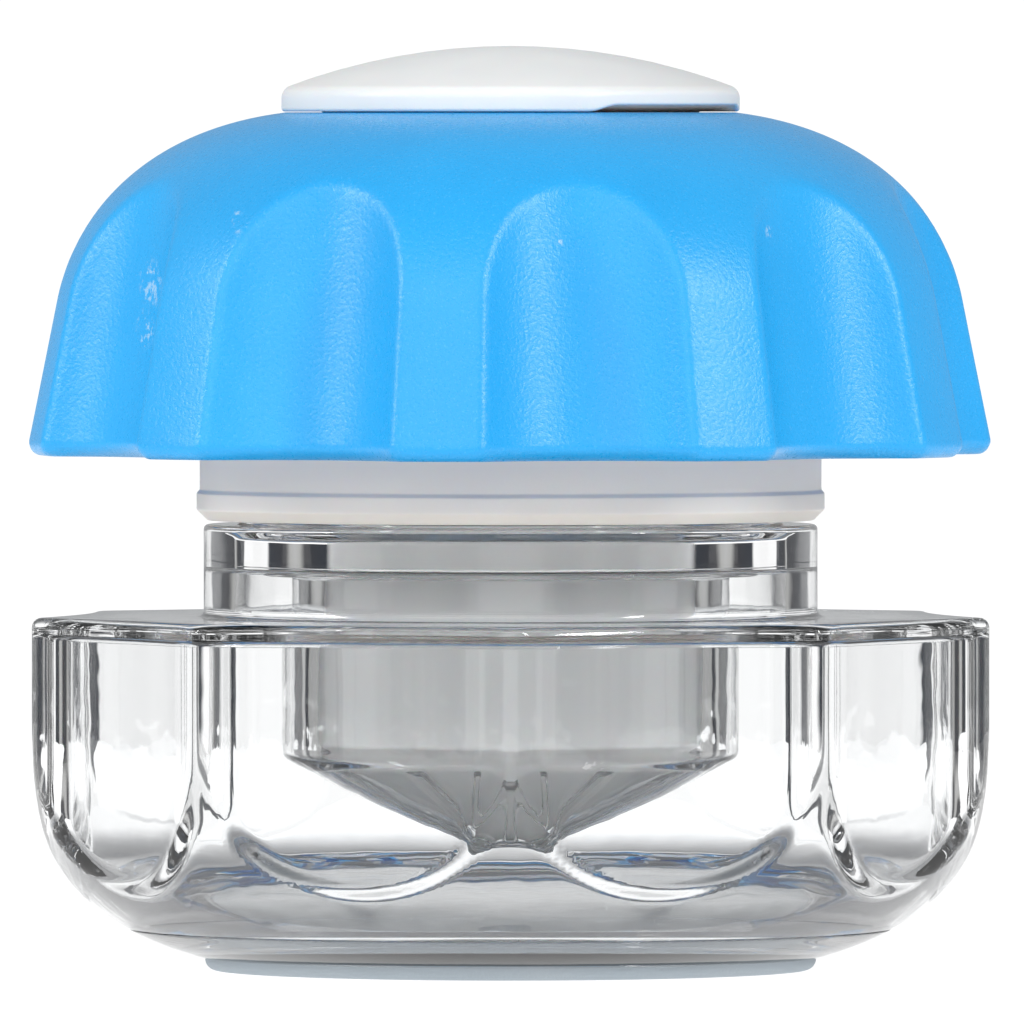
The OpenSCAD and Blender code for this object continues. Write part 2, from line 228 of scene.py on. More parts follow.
def rounded(corners, steps=5, closed=True):
    """Rounds an outline. A corner is (radius, height) or (radius, height, rounding).

    A point is held just beyond each end of a rounding, so that the flat next to
    it still shades flat.
    """
    points = []
    count = len(corners)
    for i, corner in enumerate(corners):
        here = Vector(corner[:2])
        size = corner[2] if len(corner) > 2 else 0
        if not size or (not closed and i in (0, count - 1)):
            points.append(tuple(here))
            continue
        back = Vector(corners[i - 1][:2]) - here
        ahead = Vector(corners[(i + 1) % count][:2]) - here
        room_back, room_ahead = back.length, ahead.length
        back.normalize()
        ahead.normalize()
        half = acos(max(-1, min(1, back.dot(ahead)))) / 2
        reach = min(size / tan(half), room_back * ROUNDING_SHARE, room_ahead * ROUNDING_SHARE)
        size = reach * tan(half)
        middle = here + (back + ahead).normalized() * (size / sin(half))
        first, last = here + back * reach, here + ahead * reach
        if reach + HOLD < room_back * 0.5:
            points.append(tuple(first + back * HOLD))
        start, end = first - middle, last - middle
        turn = pi - 2 * half
        for k in range(steps + 1):
            t = k / steps
            spot = (start * sin((1 - t) * turn) + end * sin(t * turn)) / sin(turn)
            points.append(tuple(middle + spot))
        if reach + HOLD < room_ahead * 0.5:
            points.append(tuple(last + ahead * HOLD))
    return points


def smooth_min(a, b, blend):
    """The lower of two values, rounded over where they cross."""
    near = max(blend - abs(a - b), 0) / blend
    return min(a, b) - near * near * blend / 4


def step_smooth(a, b, x):
    """0 at a, 1 at b, eased at both ends."""
    t = max(0, min(1, (x - a) / (b - a)))
    return t * t * (3 - 2 * t)


def radius_at(outline, height):
    """Radius of a rising outline at a height."""
    for (r0, z0), (r1, z1) in zip(outline, outline[1:]):
        if z0 <= height <= z1:
            return r0 + (r1 - r0) * (height - z0) / max(z1 - z0, TINY)
    return outline[0][0] if height < outline[0][1] else outline[-1][0]


# --------------------------------------------------------------- mesh tools

def lathe(outline, steps, closed=True):
    """Spins an outline of (radius, height) points about the upright axis.

    One wedge is spun first, and the whole turn is made of copies of it.
    """
    bm = bmesh.new()
    verts = [bm.verts.new((r, 0, z)) for r, z in outline]
    pairs = list(zip(verts, verts[1:]))
    if closed:
        pairs.append((verts[-1], verts[0]))
    edges = [bm.edges.new(pair) for pair in pairs]
    wedge = 2 * pi / WEDGES
    bmesh.ops.spin(
        bm, geom=verts + edges, axis=(0, 0, 1), cent=(0, 0, 0), angle=wedge,
        steps=steps // WEDGES)
    bmesh.ops.spin(
        bm, geom=bm.verts[:] + bm.edges[:] + bm.faces[:], axis=(0, 0, 1), cent=(0, 0, 0),
        angle=2 * pi - wedge, steps=WEDGES - 1, use_duplicate=True)
    bmesh.ops.remove_doubles(bm, verts=bm.verts[:], dist=WELD)
    return bm


def bend(bm, change):
    """Moves every point by a rule that takes and gives radius, angle and height."""
    for v in bm.verts:
        r, a, z = change(hypot(v.co.x, v.co.y), atan2(v.co.y, v.co.x), v.co.z)
        v.co = (r * cos(a), r * sin(a), z)


def finish_piece(bm, name, material, node, body):
    """Turns a bmesh in millimetres into a piece of the model."""
    bmesh.ops.recalc_face_normals(bm, faces=bm.faces[:])
    bmesh.ops.scale(bm, vec=(MM, MM, MM), verts=bm.verts[:])
    mesh = bpy.data.meshes.new(name)
    bm.to_mesh(mesh)
    bm.free()
    mesh.polygons.foreach_set("use_smooth", [True] * len(mesh.polygons))
    mesh.materials.append(material)
    piece = bpy.data.objects.new(name, mesh)
    scene.collection.objects.link(piece)
    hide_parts(node)
    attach(piece, body)


def thread_height(angle, height, start_z, length):
    """How far a helical rib stands, from 0 to 1, at a place on a bore or spigot."""
    pitch = LEAD / STARTS
    off = (height - start_z - LEAD * angle / (2 * pi)) % pitch
    off = off - pitch if off > pitch / 2 else off
    along = (height - off - start_z) / length
    if not 0 <= along <= 1:
        return 0
    ends = step_smooth(0, THREAD_RUNOUT, along) * step_smooth(0, THREAD_RUNOUT, 1 - along)
    flank = (THREAD_ROOT_W / 2 - abs(off)) / (THREAD_ROOT_W - THREAD_CREST_W) * 2
    return ends * max(0, min(1, flank))


def cone_rib(angle, radius, first, last):
    """How far a radial crushing rib stands, from 0 to 1."""
    if not first < radius < last:
        return 0
    pitch = 2 * pi / CRUSH_RIBS
    off = abs((angle + pitch / 2) % pitch - pitch / 2) * radius
    return step_smooth(CRUSH_RIB_FOOT, CRUSH_RIB_CREST, off)


# ---------------------------------------------------------------- materials

class Value:
    """A shader socket that can be used in ordinary arithmetic."""

    def __init__(self, tree, socket):
        self.tree, self.socket = tree, socket

    def _math(self, operation, a, b=None):
        node = self.tree.nodes.new("ShaderNodeMath")
        node.operation = operation
        for slot, part in zip(node.inputs, (a, b)):
            if isinstance(part, Value):
                self.tree.links.new(part.socket, slot)
            elif part is not None:
                slot.default_value = part
        return Value(self.tree, node.outputs[0])

    def __add__(self, other):
        return self._math("ADD", self, other)

    def __radd__(self, other):
        return self._math("ADD", other, self)

    def __sub__(self, other):
        return self._math("SUBTRACT", self, other)

    def __rsub__(self, other):
        return self._math("SUBTRACT", other, self)

    def __mul__(self, other):
        return self._math("MULTIPLY", self, other)

    def __rmul__(self, other):
        return self._math("MULTIPLY", other, self)

    def __truediv__(self, other):
        return self._math("DIVIDE", self, other)

    def __abs__(self):
        return self._math("ABSOLUTE", self)

    def low(self, other):
        return self._math("MINIMUM", self, other)

    def top(self, other):
        return self._math("MAXIMUM", self, other)


class Nodes:
    """Adds nodes to one node tree."""

    def __init__(self, tree):
        self.tree = tree

    def add(self, kind, settings=None, out=0, **inputs):
        """A node of a kind, with its settings first and then its sockets."""
        node = self.tree.nodes.new("ShaderNode" + kind)
        for name, setting in (settings or {}).items():
            if name == "stops":
                self._stops(node.color_ramp, setting)
            else:
                setattr(node, name, setting)
        for name, part in inputs.items():
            socket = node.inputs[int(name[1:])] if name[0] == "_" else node.inputs[name]
            if isinstance(part, Value):
                self.tree.links.new(part.socket, socket)
            else:
                socket.default_value = part
        return Value(self.tree, node.outputs[out])

    @staticmethod
    def _stops(ramp, stops):
        while len(ramp.elements) < len(stops):
            ramp.elements.new(1.0)
        for element, (place, colour) in zip(ramp.elements, stops):
            element.position = place
            element.color = (*colour, 1)

    def mix(self, factor, a, b):
        """One colour laid over another."""
        return self.add(
            "Mix", {"data_type": "RGBA"}, out=2, _0=factor,
            _6=a if isinstance(a, Value) else (*a, 1),
            _7=b if isinstance(b, Value) else (*b, 1))

    def place(self):
        """Where a point is, in metres."""
        return self.add("TexCoord", out=3)

    def noise(self, scale, detail=3, rough=0.55):
        """Cloudy noise with about this many lumps a metre."""
        return self.add(
            "TexNoise", Vector=self.place(), Scale=scale, Detail=detail, Roughness=rough)

    def ramp(self, factor, start, end):
        """0 below start, 1 above end."""
        return self.add(
            "MapRange", {"interpolation_type": "SMOOTHSTEP"}, _0=factor, _1=start, _2=end)

    def bump(self, height, strength, distance):
        return self.add("Bump", Strength=strength, Distance=distance, Height=height)


def new_finish(name, **constants):
    """A material with one Principled shader, and its node builder."""
    material = bpy.data.materials.new(name)
    material.use_nodes = True
    tree = material.node_tree
    shader = tree.nodes["Principled BSDF"]
    for socket, number in constants.items():
        shader.inputs[socket.replace("_", " ")].default_value = number
    return material, Nodes(tree), shader


def feed(nodes, shader, **inputs):
    """Links values to a shader's sockets."""
    for socket, value in inputs.items():
        nodes.tree.links.new(value.socket, shader.inputs[socket.replace("_", " ")])


CLEAR_TINT = (0.985, 0.99, 0.992, 1)
BLUE_DEEP = (0.013, 0.375, 0.82)
BLUE_LIGHT = (0.017, 0.40, 0.86)
BLUE_SPECK = (0.16, 0.58, 1.0)
BLUE_WORN = (0.50, 0.70, 0.85)
SILICONE_DULL = (0.66, 0.70, 0.72)
SILICONE_BRIGHT = (0.76, 0.79, 0.80)
RUBBER_DARK = (0.36, 0.42, 0.47)
RUBBER_LIGHT = (0.44, 0.49, 0.53)
LID_WHITES = ((0.84, 0.85, 0.85), (0.88, 0.885, 0.88))
# Collar whites are painted warm to cancel the blue light that bounces onto the collar from the
# knob.
COLLAR_WHITES_PAINTED_WARM = ((0.93, 0.87, 0.81), (0.96, 0.90, 0.84))
# Plunger whites are painted brighter than the lid's, to make up for light lost on its way in
# through the clear plastic.
INNER_WHITES_PAINTED_BRIGHT = ((0.88, 0.88, 0.88), (0.92, 0.92, 0.92))

# Scuffs on the knob's front: (across, up, radius), in mm.
SCUFFS = (
    (-19.0, 53.0, 0.5), (-25.2, 48.6, 1.0), (-25.6, 45.4, 0.8),
    (3.3, 51.7, 0.4), (18.0, 52.3, 0.3))
SCUFF_SQUASH = 0.5               # heights are halved, so a scuff is taller than wide


def clear_plastic():
    """Water-clear moulded plastic with faint polish haze and flow ripple."""
    material, nodes, shader = new_finish(
        "clear_plastic", Transmission_Weight=1.0, IOR=1.49, Base_Color=CLEAR_TINT)
    ripple = nodes.noise(180, detail=2)
    haze = nodes.noise(900, detail=4)
    feed(
        nodes, shader,
        Roughness=0.01 + 0.03 * nodes.ramp(haze, 0.55, 0.8),
        Normal=nodes.bump(ripple, 0.12, 0.0002))
    return material


def white_plastic(name, dull, bright):
    """Satin white moulding with a soft sheen and fine grain."""
    material, nodes, shader = new_finish(
        name, IOR=1.5, Subsurface_Weight=0.12, Subsurface_Scale=0.002)
    grain = nodes.noise(5200, detail=2)
    cloud = nodes.noise(70, detail=3)
    feed(
        nodes, shader,
        Base_Color=nodes.mix(nodes.ramp(cloud, 0.35, 0.7), dull, bright),
        Roughness=0.36 + 0.1 * nodes.ramp(cloud, 0.3, 0.75),
        Normal=nodes.bump(grain, 0.18, 0.00004))
    return material


def blue_plastic():
    """Matt blue moulding with a fine spark-eroded grain and faint scuffs."""
    material, nodes, shader = new_finish("blue_plastic", IOR=1.5, Specular_IOR_Level=0.5)
    grain = nodes.noise(3600, detail=3, rough=0.6)
    speck = nodes.noise(6500, detail=1)
    cloud = nodes.noise(60, detail=3)
    scuff = nodes.ramp(nodes.noise(420, detail=5, rough=0.75), 0.66, 0.74)
    fleck = nodes.noise(1500, detail=4, rough=0.7)
    rub = nodes.ramp(nodes.noise(110, detail=2), 0.55, 0.68)
    worn = scuff * rub
    spot = nodes.add(
        "VectorMath", {"operation": "MULTIPLY"}, _0=nodes.place(), _1=(1, 0, SCUFF_SQUASH))
    for x, z, size in SCUFFS:
        near = nodes.add(
            "VectorMath", {"operation": "DISTANCE"}, out=1, _0=spot,
            _1=(x * MM, 0, z * MM * SCUFF_SQUASH))
        patch = 1 - nodes.ramp(near, size * MM / 2, size * MM)
        worn = worn.top(patch * nodes.ramp(fleck, 0.52, 0.6))
    body = nodes.mix(nodes.ramp(cloud, 0.35, 0.7), BLUE_DEEP, BLUE_LIGHT)
    flecked = nodes.mix(nodes.ramp(speck, 0.62, 0.72) * 0.25, body, BLUE_SPECK)
    feed(
        nodes, shader,
        Base_Color=nodes.mix(worn * 0.6, flecked, BLUE_WORN),
        Roughness=0.27 + 0.10 * nodes.ramp(grain, 0.35, 0.7) - 0.06 * worn,
        Normal=nodes.bump(grain, 0.6, 0.00009))
    return material


def seal_rubber():
    """Soft milky silicone."""
    material, nodes, shader = new_finish(
        "seal_rubber", IOR=1.43, Subsurface_Weight=0.3, Subsurface_Scale=0.002)
    cloud = nodes.noise(900, detail=3)
    feed(
        nodes, shader,
        Base_Color=nodes.mix(cloud, SILICONE_DULL, SILICONE_BRIGHT),
        Roughness=0.5 + 0.15 * cloud,
        Normal=nodes.bump(cloud, 0.2, 0.00005))
    return material


def foot_rubber():
    """Blue-grey non-slip rubber with a fine matt grain."""
    material, nodes, shader = new_finish("foot_rubber", IOR=1.48)
    grain = nodes.noise(4200, detail=3)
    cloud = nodes.noise(90, detail=2)
    feed(
        nodes, shader,
        Base_Color=nodes.mix(cloud, RUBBER_DARK, RUBBER_LIGHT),
        Roughness=0.62 + 0.2 * grain,
        Normal=nodes.bump(grain, 0.5, 0.00008))
    return material


# ------------------------------------------------------------------- pieces

def bowl_curve(inset):
    """The bowl's outline from its flat bottom up to the ridges."""
    foot = (FOOT_R + BOWL_MARGIN, BOWL_Z + inset)
    return curve(
        foot, (foot[0] + BOWL_REACH - inset, foot[1] + BOWL_TILT),
        (RIDGE_R - inset, BOWL_TOP_Z - BOWL_CLIMB), (RIDGE_R - inset, BOWL_TOP_Z),
        BOWL_STEPS)


BOWL = bowl_curve(0)
BOWL_INSIDE = bowl_curve(SHELL_WALL)
SEAM_R = radius_at(BOWL, SEAM_Z)
HALF = pi / RIDGES               # half the angle between two ridges
SAG = RIDGE_R * cos(HALF) - SCALLOP_R
# Radius of a scallop's arc, and how far out its centre is.
HOLLOW_R = ((RIDGE_R * sin(HALF)) ** 2 + SAG ** 2) / (2 * SAG)
HOLLOW_FAR = SCALLOP_R + HOLLOW_R


def scallop_radius(angle, blend):
    """Radius of the scalloped wall, with each ridge rounded over."""
    off = (angle + pi / 2) % (2 * HALF)
    sides = []
    for turn in (off - HALF, off + HALF, off - 3 * HALF):
        reach = HOLLOW_FAR * sin(turn)
        if abs(reach) < HOLLOW_R:
            sides.append(HOLLOW_FAR * cos(turn) - sqrt(HOLLOW_R ** 2 - reach ** 2))
    sides.sort()
    return smooth_min(sides[0], sides[1], blend) + SCALLOP_OUT


def scallop(bm):
    """Presses the scallops into the round wall of the base shell."""
    still_r = NECK_R + 1

    def change(r, a, z):
        if r < still_r or z > DECK_Z + 0.5:
            return r, a, z
        wall = radius_at(BOWL, z)
        inside_face = wall - r > SHELL_WALL / 2
        weight = step_smooth(still_r, still_r + SCALLOP_FADE_R, r)
        blend = RIDGE_BLEND_INSIDE if inside_face else RIDGE_BLEND_OUTSIDE
        pressed = smooth_min(scallop_radius(a, blend), wall, SCALLOP_OUT)
        return r - weight * (wall - pressed), a, z

    bend(bm, change)


def make_base_shell(material):
    """Upper clear moulding: scalloped wall, deck, neck, ring and threaded spigot."""
    outer = [p for p in BOWL if p[1] > SEAM_Z + SEAM_SOFT]
    inner = [p for p in BOWL_INSIDE if p[0] > OPENING_R + 0.6]
    neck_in = NECK_R - SHELL_WALL
    spigot_in = SPIGOT_R - SHELL_WALL
    well_top = NECK_TOP - NECK_RING
    thread_rows = split((SPIGOT_R, NECK_TOP + 0.6), (SPIGOT_R, SPIGOT_TOP - 0.9), SPIGOT_ROWS)
    outline = [
        (OPENING_R, SEAM_Z + GAP), (SEAM_R - 0.05, SEAM_Z + GAP), (SEAM_R + 0.15, SEAM_Z + 0.1)]
    outline += outer
    outline += rounded([
        outer[-1], (RIDGE_R, DECK_Z, 0.7), (NECK_R, DECK_Z, 0.5),
        (NECK_R, NECK_TOP, 0.35), (SPIGOT_R, NECK_TOP, 0.4), (SPIGOT_R, NECK_TOP + 1.2)],
        closed=False)[1:-1]
    outline += thread_rows
    outline += rounded([
        thread_rows[-1], (SPIGOT_R, SPIGOT_TOP, 0.5), (spigot_in, SPIGOT_TOP, 0.5),
        (spigot_in, NECK_TOP, 1.2), (WELL_R + 1.4, NECK_TOP, 0.4), (WELL_R, NECK_TOP - 1.0, 0.3),
        (WELL_R, well_top, 0.05), (neck_in, well_top, 0.3), (neck_in, DECK_Z - DECK_WALL, 0.4),
        (RIDGE_R - SHELL_WALL, DECK_Z - DECK_WALL, 0.4), inner[-1]], closed=False)[1:-1]
    outline += inner[::-1]
    outline += [(OPENING_R + 0.15, inner[0][1] - 0.1), (OPENING_R, inner[0][1] - 0.4)]
    bm = lathe(outline, SHELL_STEPS)
    scallop(bm)

    def thread(r, a, z):
        if abs(r - SPIGOT_R) > ON_WALL or not NECK_TOP < z < SPIGOT_TOP:
            return r, a, z
        return r + THREAD_DEPTH * thread_height(a, z, SPIGOT_THREAD_Z, SPIGOT_THREAD_H), a, z

    bend(bm, thread)
    finish_piece(bm, "clear_base_shell", material, "base_shell", "base")


def make_base_bowl(material):
    """Clear bottom disc that closes the shell, with a recess for the foot."""
    outer = [p for p in BOWL if p[1] < SEAM_Z - SEAM_EDGE]
    recess_r = FOOT_R + GAP
    outline = rounded([
        (0, FOOT_TOP), (recess_r, FOOT_TOP, 0.15), (recess_r, BOWL_Z, 0.08), outer[0]],
        closed=False)[:-1]
    outline += outer
    outline += rounded([outer[-1], (SEAM_R, SEAM_Z, 0.1), (0, SEAM_Z)], closed=False)[1:]
    bm = lathe(outline, TURN_STEPS, closed=False)
    finish_piece(bm, "clear_base_bowl", material, "base_bowl", "base")


def make_crushing_well(material):
    """Clear tube with a ribbed conical floor."""
    tip_top = WELL_TIP_Z + WELL_FLOOR
    cone_top = tip_top + (WELL_R - WELL_TIP_R) * CONE_RISE
    corner_z = WELL_TIP_Z + (WELL_OUT - WELL_TIP_R) * CONE_RISE
    cone = split((WELL_R, cone_top), (WELL_TIP_R, tip_top), CONE_ROWS)
    outline = rounded([
        (0, WELL_TIP_Z), (WELL_TIP_R, WELL_TIP_Z, 0.8), (WELL_OUT, corner_z, 0.8),
        (WELL_OUT, WELL_TOP - WELL_LIP_H, 0.15), (WELL_LIP_R, WELL_TOP - WELL_LIP_H, 0.15),
        (WELL_LIP_R, WELL_TOP - GAP, 0.1), (WELL_R, WELL_TOP - GAP, 0.15),
        (WELL_R, cone_top, 0.4), cone[0]], closed=False)[:-1]
    outline += cone
    outline += [(WELL_TIP_R, tip_top), (0, tip_top)]
    bm = lathe(outline, TURN_STEPS, closed=False)

    def ribs(r, a, z):
        if abs(z - tip_top - (r - WELL_TIP_R) * CONE_RISE) > ON_CONE:
            return r, a, z
        return r, a, z + CRUSH_RIB_H * cone_rib(a, r, WELL_TIP_R, WELL_R - 0.3)

    bend(bm, ribs)
    finish_piece(
        bm, "clear_crushing_well", material, "crushing_well", "base")


def make_foot_pad(material):
    """Round rubber foot with a soft lower edge and shallow rings underneath."""
    outline = [(0, 0), (FOOT_CENTRE_R, 0)]
    for ring in range(FOOT_RINGS):
        start = RING_FIRST_R + ring * RING_PITCH
        end = start + RING_W
        outline += [
            (start, 0), (start + RING_SLOPE, RING_DEPTH), (end - RING_SLOPE, RING_DEPTH), (end, 0)]
    outline += rounded([
        (FOOT_EDGE_R, 0), (FOOT_R, 0, 0.75), (FOOT_R, FOOT_TOP - GAP, 0.1),
        (0, FOOT_TOP - GAP)], steps=8, closed=False)
    bm = lathe(outline, SMALL_STEPS, closed=False)
    finish_piece(bm, "rubber_foot_pad", material, "foot_pad", "base")


def make_seal_ring(material):
    """Soft flat ring in the plunger's groove."""
    outer = high("seal_ring").x
    bottom, top = low("seal_ring").z, high("seal_ring").z
    outline = rounded([
        (SEAL_IN, bottom, 0.3), (outer, bottom, 0.5), (outer, top, 0.5), (SEAL_IN, top, 0.3)])
    bm = lathe(outline, SEAL_STEPS)
    finish_piece(bm, "soft_seal_ring", material, "seal_ring", "seal")


def make_collar(material):
    """White screw collar with a bead at its lower edge and an inside thread."""
    hole = PLUNGER_R + GAP
    roof_z = COLLAR_TOP - COLLAR_ROOF
    rows = split((COLLAR_IN, roof_z - 1.0), (COLLAR_IN, COLLAR_Z + 0.5), COLLAR_ROWS)
    outline = rounded([
        (COLLAR_IN, COLLAR_Z, 0.3), (COLLAR_R - COLLAR_BEVEL, COLLAR_Z, 0.15),
        (COLLAR_R, COLLAR_Z + COLLAR_BEVEL, 0.2), (COLLAR_R, COLLAR_Z + 1.9, 0.2),
        (COLLAR_R - COLLAR_STEP, COLLAR_Z + 2.15, 0.2),
        (COLLAR_R - COLLAR_STEP, KNOB_Z + 1.5, 0.1), (COLLAR_R, KNOB_Z + 1.8, 0.1),
        (COLLAR_R, COLLAR_TOP, 0.4), (hole, COLLAR_TOP, 0.1), (hole, roof_z, 0.1),
        (COLLAR_IN, roof_z, 0.5), rows[0]], closed=False)[1:-1]
    outline += rows
    bm = lathe(outline, TURN_STEPS)

    def thread(r, a, z):
        if abs(r - COLLAR_IN) > ON_WALL:
            return r, a, z
        return r - THREAD_DEPTH * thread_height(a, z, COLLAR_THREAD_Z, COLLAR_THREAD_H), a, z

    bend(bm, thread)
    finish_piece(bm, "white_screw_collar", material, "threaded_collar", "top")


def make_plunger(material):
    """White hollow plunger with a ribbed cone and a groove for the seal."""
    tip_z = WELL_TIP_Z + WELL_FLOOR + CRUSH_GAP
    edge_z = tip_z + (PLUNGER_R - WELL_TIP_R) * CONE_RISE
    inner = PLUNGER_R - PLUNGER_WALL
    hollow_z = tip_z + PLUNGER_WALL
    hollow_edge = hollow_z + (inner - WELL_TIP_R) * CONE_RISE
    groove_r = PLUNGER_R - GROOVE_DEPTH
    groove_low, groove_top = low("seal_ring").z - SEAL_PLAY, high("seal_ring").z + SEAL_PLAY
    rim = (PLUNGER_R - PLUNGER_EDGE, edge_z - PLUNGER_EDGE * CONE_RISE)
    cone = split((WELL_TIP_R, tip_z), rim, CONE_ROWS)
    outline = [(0, tip_z), (WELL_TIP_R, tip_z)] + cone
    outline += rounded([
        cone[-1], (PLUNGER_R, edge_z, 0.4), (PLUNGER_R, groove_low, 0.1),
        (groove_r, groove_low, 0.1), (groove_r, groove_top, 0.1),
        (PLUNGER_R, groove_top, 0.1), (PLUNGER_R, COLLAR_TOP, 0.1),
        (HEAD_R, COLLAR_TOP, 0.3), (HEAD_R, HEAD_TOP, 0.3), (inner, HEAD_TOP, 0.3),
        (inner, hollow_edge, 1.0), (WELL_TIP_R, hollow_z, 1.0), (0, hollow_z)], closed=False)[1:]
    bm = lathe(outline, TURN_STEPS, closed=False)

    def ribs(r, a, z):
        if abs(z - tip_z - (r - WELL_TIP_R) * CONE_RISE) > ON_CONE:
            return r, a, z
        return r, a, z - CRUSH_RIB_H * cone_rib(a, r, WELL_TIP_R, PLUNGER_R - 0.6)

    bend(bm, ribs)
    finish_piece(bm, "white_plunger", material, "plunger", "top")


def knob_curve(inset, steps):
    """The knob's outline from the top of its skirt to the hole in its crown."""
    start = (KNOB_R - SKIRT_LEAN * SKIRT_H - inset, KNOB_Z + SKIRT_H)
    end = (LID_R - 0.3, CROWN_Z - inset)
    return curve(
        start, (start[0] - SKIRT_REACH * SKIRT_LEAN, start[1] + SKIRT_REACH),
        (end[0] + CROWN_REACH * cos(CROWN_TILT), end[1] - CROWN_REACH * sin(CROWN_TILT)),
        end, steps)


def flute_radius(angle, height, cutter, valley):
    """Radius at which a leaning round cutter reaches in from outside."""
    pitch = 2 * pi / FLUTES
    off = (angle + pi / 2 - FLUTE_TURN + pitch / 2) % pitch - pitch / 2
    far = valley + cutter - (height - KNOB_Z) * FLUTE_LEAN
    reach = far * sin(off)
    if abs(reach) >= cutter:
        return NO_FLUTE_R
    return far * cos(off) - sqrt(cutter * cutter - reach * reach)


def make_knob(material):
    """Blue dome with finger flutes, an inner grip tube and a hub."""
    hub_in = STORE_R + GAP
    hub_out = hub_in + HUB_WALL
    grip_in = COLLAR_R + GAP
    grip_out = grip_in + KNOB_WALL
    grip_z = KNOB_Z + GRIP_LIFT
    flange_r = STORE_FLANGE_R + GAP
    skirt_top = (KNOB_R - SKIRT_LEAN * SKIRT_H, KNOB_Z + SKIRT_H)
    inner_r = KNOB_R - KNOB_WALL
    dome = knob_curve(0, 40)
    under = knob_curve(KNOB_WALL, 16)
    rim_z = CROWN_Z - STORE_FLANGE_H

    def under_z(radius):
        for (r0, z0), (r1, z1) in zip(under, under[1:]):
            if r1 <= radius <= r0:
                return z0 + (z1 - z0) * (r0 - radius) / (r0 - r1)
        return under[-1][1]

    outline = rounded([
        (inner_r, KNOB_Z + EDGE_H), (inner_r, KNOB_Z, 0.7), (KNOB_R, KNOB_Z, 1.0), skirt_top],
        steps=7, closed=False)[1:-1]
    outline += split(outline[-1], skirt_top, 12)
    outline += dome
    outline += rounded([
        dome[-1], (flange_r, CROWN_Z, 0.15), (flange_r, rim_z, 0.1),
        (hub_in, rim_z, 0.15), (hub_in, HEAD_TOP, 0.3), (hub_out, HEAD_TOP, 0.3),
        (hub_out, under_z(hub_out), 0.5), (grip_in, under_z(grip_in), 0.5),
        (grip_in, grip_z, 0.4), (grip_out, grip_z, 0.4), (grip_out, under_z(grip_out), 1.0),
        (grip_out + 1.5, under_z(grip_out + 1.5))], closed=False)[1:]
    outline += [p for p in under[::-1] if p[0] > grip_out + 2]
    outline += split(under[0], (inner_r, KNOB_Z + EDGE_H), 6)
    bm = lathe(outline, KNOB_STEPS)
    wall = [(KNOB_R, KNOB_Z)] + dome
    valley = KNOB_R - FLUTE_DEPTH

    def flutes(r, a, z):
        if r < grip_out + 1:
            return r, a, z
        outside = flute_radius(a, z, FLUTE_R, valley)
        inside = flute_radius(a, z, FLUTE_BACK_R, valley - KNOB_WALL)
        depth = max(0, min(1, (radius_at(wall, z) - r) / KNOB_WALL))
        if z > KNOB_Z + EDGE_H:
            depth = round(depth)
        pressed = (
            (1 - depth) * smooth_min(r, outside - depth * KNOB_WALL, FLUTE_BLEND)
            + depth * smooth_min(r, inside, FLUTE_BACK_BLEND))
        return pressed, a, z

    bend(bm, flutes)
    finish_piece(bm, "blue_knob", material, "knob_shell", "top")


def make_storage_cup(material):
    """White pill store set in the knob's crown."""
    inner = STORE_R - STORE_WALL
    floor_z = HEAD_TOP + STORE_WALL
    flange_z = STORE_TOP - STORE_FLANGE_H
    outline = rounded([
        (0, HEAD_TOP + GAP), (STORE_R, HEAD_TOP + GAP, 0.5), (STORE_R, flange_z, 0.1),
        (STORE_FLANGE_R, flange_z, 0.15), (STORE_FLANGE_R, STORE_TOP, 0.3),
        (inner, STORE_TOP, 0.3), (inner, floor_z, 1.5), (0, floor_z)], closed=False)
    bm = lathe(outline, SMALL_STEPS, closed=False)
    finish_piece(bm, "white_pill_store", material, "storage_cup", "top")


def make_lid(material):
    """Domed snap lid with a plug and a thin finger slot under its edge."""
    edge_top = LID_Z + LID_EDGE_H
    dome_h = LID_TOP - edge_top
    ball = (LID_R ** 2 + dome_h ** 2) / (2 * dome_h)
    centre = LID_TOP - ball

    plug_in = PLUG_R - LID_WALL
    edge_in = LID_R - LID_EDGE_W

    def dome(radius, drop=0):
        return centre + sqrt((ball - drop) ** 2 - radius ** 2)

    outline = [(r, dome(r, LID_WALL)) for r in range(0, 11, 2)]
    outline += rounded([
        outline[-1], (plug_in, dome(plug_in, LID_WALL), 0.8), (plug_in, PLUG_Z, 0.3),
        (PLUG_R, PLUG_Z, 0.4), (PLUG_R, LID_Z, 0.1), (LID_R, LID_Z, 0.25),
        (LID_R, edge_top, 0.9), (edge_in, dome(edge_in))], steps=7, closed=False)[1:]
    shares = (0.85, 0.75, 0.62, 0.5, 0.37, 0.25, 0.12, 0)
    outline += [(LID_R * share, dome(LID_R * share)) for share in shares]
    bm = lathe(outline, TURN_STEPS, closed=False)

    def slot(r, a, z):
        if not (LID_Z - ON_WALL < z < edge_top and r > LID_R - SLOT_REACH):
            return r, a, z
        off = abs((a + pi / 2 - SLOT_TURN + pi) % (2 * pi) - pi)
        along = step_smooth(SLOT_SPAN, SLOT_FULL_SPAN, off)
        across = step_smooth(LID_R - SLOT_REACH, LID_R - SLOT_FULL_REACH, r)
        keep = (edge_top - z) / LID_EDGE_H
        return r, a, z + SLOT_H * along * across * keep

    bend(bm, slot)
    finish_piece(bm, "white_lid", material, "lid", "lid")


# -------------------------------------------------------------------- stage

